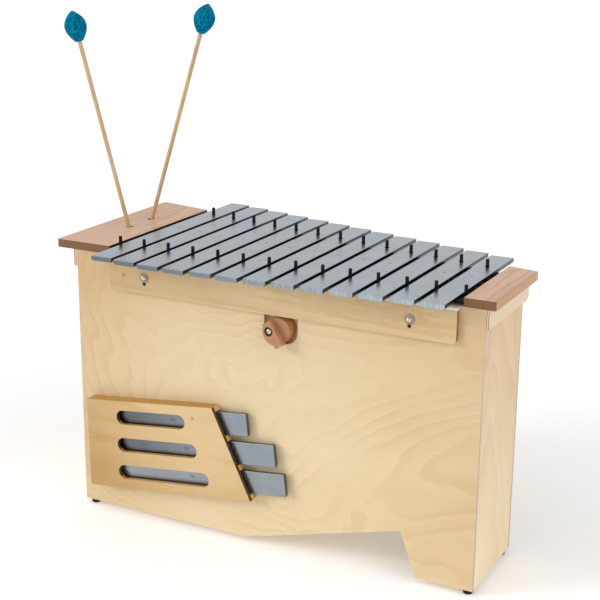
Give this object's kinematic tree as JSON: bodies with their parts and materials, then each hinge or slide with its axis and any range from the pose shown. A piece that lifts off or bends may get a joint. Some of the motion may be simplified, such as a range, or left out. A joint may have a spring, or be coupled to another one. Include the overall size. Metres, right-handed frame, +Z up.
{
  "type": "bass metallophone",
  "caption": "Bass metallophone: aluminium bars on pins over a tapered plywood resonator box, with a cam-lifted damper board, a rack of spare bars and two yarn mallets standing at the left.",
  "frame": {"origin": "centre of the bounding box in X and Y, at the level of the feet's undersides", "axes": "+X along the instrument towards its short bars, +Y away from the player towards the back panel, +Z up"},
  "size_m": [1.0124, 0.5696, 1.068],
  "materials": {
    "birch_ply": "clear satin lacquer on pale birch plywood",
    "golden_ply": "clear satin lacquer on golden plywood",
    "beech": "clear satin lacquer on beech",
    "bar_aluminium": "satin rolled aluminium",
    "steel": "bright zinc-plated steel",
    "black_rubber": "matte black rubber",
    "black_felt": "black felt",
    "white_felt": "off-white felt",
    "stick_wood": "lacquered stick",
    "yarn": "wound wool yarn"
  },
  "bodies": {
    "resonator_box": {"front_panel": "birch_ply", "back_panel": "birch_ply", "left_end_panel": "birch_ply", "right_end_panel": "birch_ply", "floor_board": "birch_ply", "sloped_floor_board": "birch_ply", "leg_floor_board": "birch_ply", "resonator_divider": "birch_ply", "left_end_block": "beech", "right_end_block": "beech", "left_cleat": "birch_ply", "right_cleat": "birch_ply", "front_rail": "birch_ply", "front_pins": "black_rubber", "front_rail_felt": "black_felt", "rear_rail": "birch_ply", "rear_pins": "black_rubber", "rear_rail_felt": "black_felt", "guide_screw_left": "steel", "guide_screw_right": "steel", "guide_washer_left": "steel", "guide_washer_right": "steel", "knob_screw": "steel", "knob_bearer": "birch_ply", "rack_plate": "golden_ply", "rack_end_stop": "golden_ply", "rack_spacer_1": "golden_ply", "rack_spacer_2": "golden_ply", "rack_spacer_3": "golden_ply", "rack_spacer_4": "golden_ply", "mallet_ledge": "birch_ply", "foot_front_left": "black_rubber", "foot_front_right": "black_rubber", "foot_rear_left": "black_rubber", "foot_rear_right": "black_rubber"},
    "bar_01": {"bar_01": "bar_aluminium"},
    "bar_02": {"bar_02": "bar_aluminium"},
    "bar_03": {"bar_03": "bar_aluminium"},
    "bar_04": {"bar_04": "bar_aluminium"},
    "bar_05": {"bar_05": "bar_aluminium"},
    "bar_06": {"bar_06": "bar_aluminium"},
    "bar_07": {"bar_07": "bar_aluminium"},
    "bar_08": {"bar_08": "bar_aluminium"},
    "bar_09": {"bar_09": "bar_aluminium"},
    "bar_10": {"bar_10": "bar_aluminium"},
    "bar_11": {"bar_11": "bar_aluminium"},
    "bar_12": {"bar_12": "bar_aluminium"},
    "bar_13": {"bar_13": "bar_aluminium"},
    "spare_bar_1": {"spare_bar_1": "bar_aluminium"},
    "spare_bar_2": {"spare_bar_2": "bar_aluminium"},
    "spare_bar_3": {"spare_bar_3": "bar_aluminium"},
    "damper": {"damper_board": "golden_ply", "damper_felt": "white_felt"},
    "knob": {"damper_knob": "beech"},
    "mallet_left": {"mallet_stick_left": "stick_wood", "mallet_head_left": "yarn"},
    "mallet_right": {"mallet_stick_right": "stick_wood", "mallet_head_right": "yarn"}
  },
  "joints": [
    {"name": "bar_01_lift", "type": "slide", "parent": "resonator_box", "child": "bar_01", "axis": [0, 0, 1], "range_m": [0, 0.03]},
    {"name": "bar_02_lift", "type": "slide", "parent": "resonator_box", "child": "bar_02", "axis": [0, 0, 1], "range_m": [0, 0.03]},
    {"name": "bar_03_lift", "type": "slide", "parent": "resonator_box", "child": "bar_03", "axis": [0, 0, 1], "range_m": [0, 0.03]},
    {"name": "bar_04_lift", "type": "slide", "parent": "resonator_box", "child": "bar_04", "axis": [0, 0, 1], "range_m": [0, 0.03]},
    {"name": "bar_05_lift", "type": "slide", "parent": "resonator_box", "child": "bar_05", "axis": [0, 0, 1], "range_m": [0, 0.03]},
    {"name": "bar_06_lift", "type": "slide", "parent": "resonator_box", "child": "bar_06", "axis": [0, 0, 1], "range_m": [0, 0.03]},
    {"name": "bar_07_lift", "type": "slide", "parent": "resonator_box", "child": "bar_07", "axis": [0, 0, 1], "range_m": [0, 0.03]},
    {"name": "bar_08_lift", "type": "slide", "parent": "resonator_box", "child": "bar_08", "axis": [0, 0, 1], "range_m": [0, 0.03]},
    {"name": "bar_09_lift", "type": "slide", "parent": "resonator_box", "child": "bar_09", "axis": [0, 0, 1], "range_m": [0, 0.03]},
    {"name": "bar_10_lift", "type": "slide", "parent": "resonator_box", "child": "bar_10", "axis": [0, 0, 1], "range_m": [0, 0.03]},
    {"name": "bar_11_lift", "type": "slide", "parent": "resonator_box", "child": "bar_11", "axis": [0, 0, 1], "range_m": [0, 0.03]},
    {"name": "bar_12_lift", "type": "slide", "parent": "resonator_box", "child": "bar_12", "axis": [0, 0, 1], "range_m": [0, 0.03]},
    {"name": "bar_13_lift", "type": "slide", "parent": "resonator_box", "child": "bar_13", "axis": [0, 0, 1], "range_m": [0, 0.03]},
    {"name": "spare_bar_1_slide", "type": "slide", "parent": "resonator_box", "child": "spare_bar_1", "axis": [0.9936, 0, 0.1132], "range_m": [0, 0.37]},
    {"name": "spare_bar_2_slide", "type": "slide", "parent": "resonator_box", "child": "spare_bar_2", "axis": [0.9936, 0, 0.1132], "range_m": [0, 0.34]},
    {"name": "spare_bar_3_slide", "type": "slide", "parent": "resonator_box", "child": "spare_bar_3", "axis": [0.9936, 0, 0.1132], "range_m": [0, 0.3]},
    {"name": "damper_lift", "type": "slide", "parent": "resonator_box", "child": "damper", "axis": [0, 0, 1], "range_m": [0, 0.0094]},
    {"name": "knob_turn", "type": "hinge", "parent": "resonator_box", "child": "knob", "pos_m": [0.0547, -0.20075, 0.475], "axis": [0, -1, 0], "range_deg": [0, 70.5]},
    {"name": "mallet_left_pull", "type": "slide", "parent": "resonator_box", "child": "mallet_left", "axis": [-0.2, -0.1033, 0.9743], "range_m": [0, 0.06]},
    {"name": "mallet_right_pull", "type": "slide", "parent": "resonator_box", "child": "mallet_right", "axis": [0.2376, 0.1226, 0.9636], "range_m": [0, 0.06]}
  ],
  "couplings": [
    {"joint": "knob_turn", "follows": "damper_lift", "rad_per_m": 129.97}
  ]
}
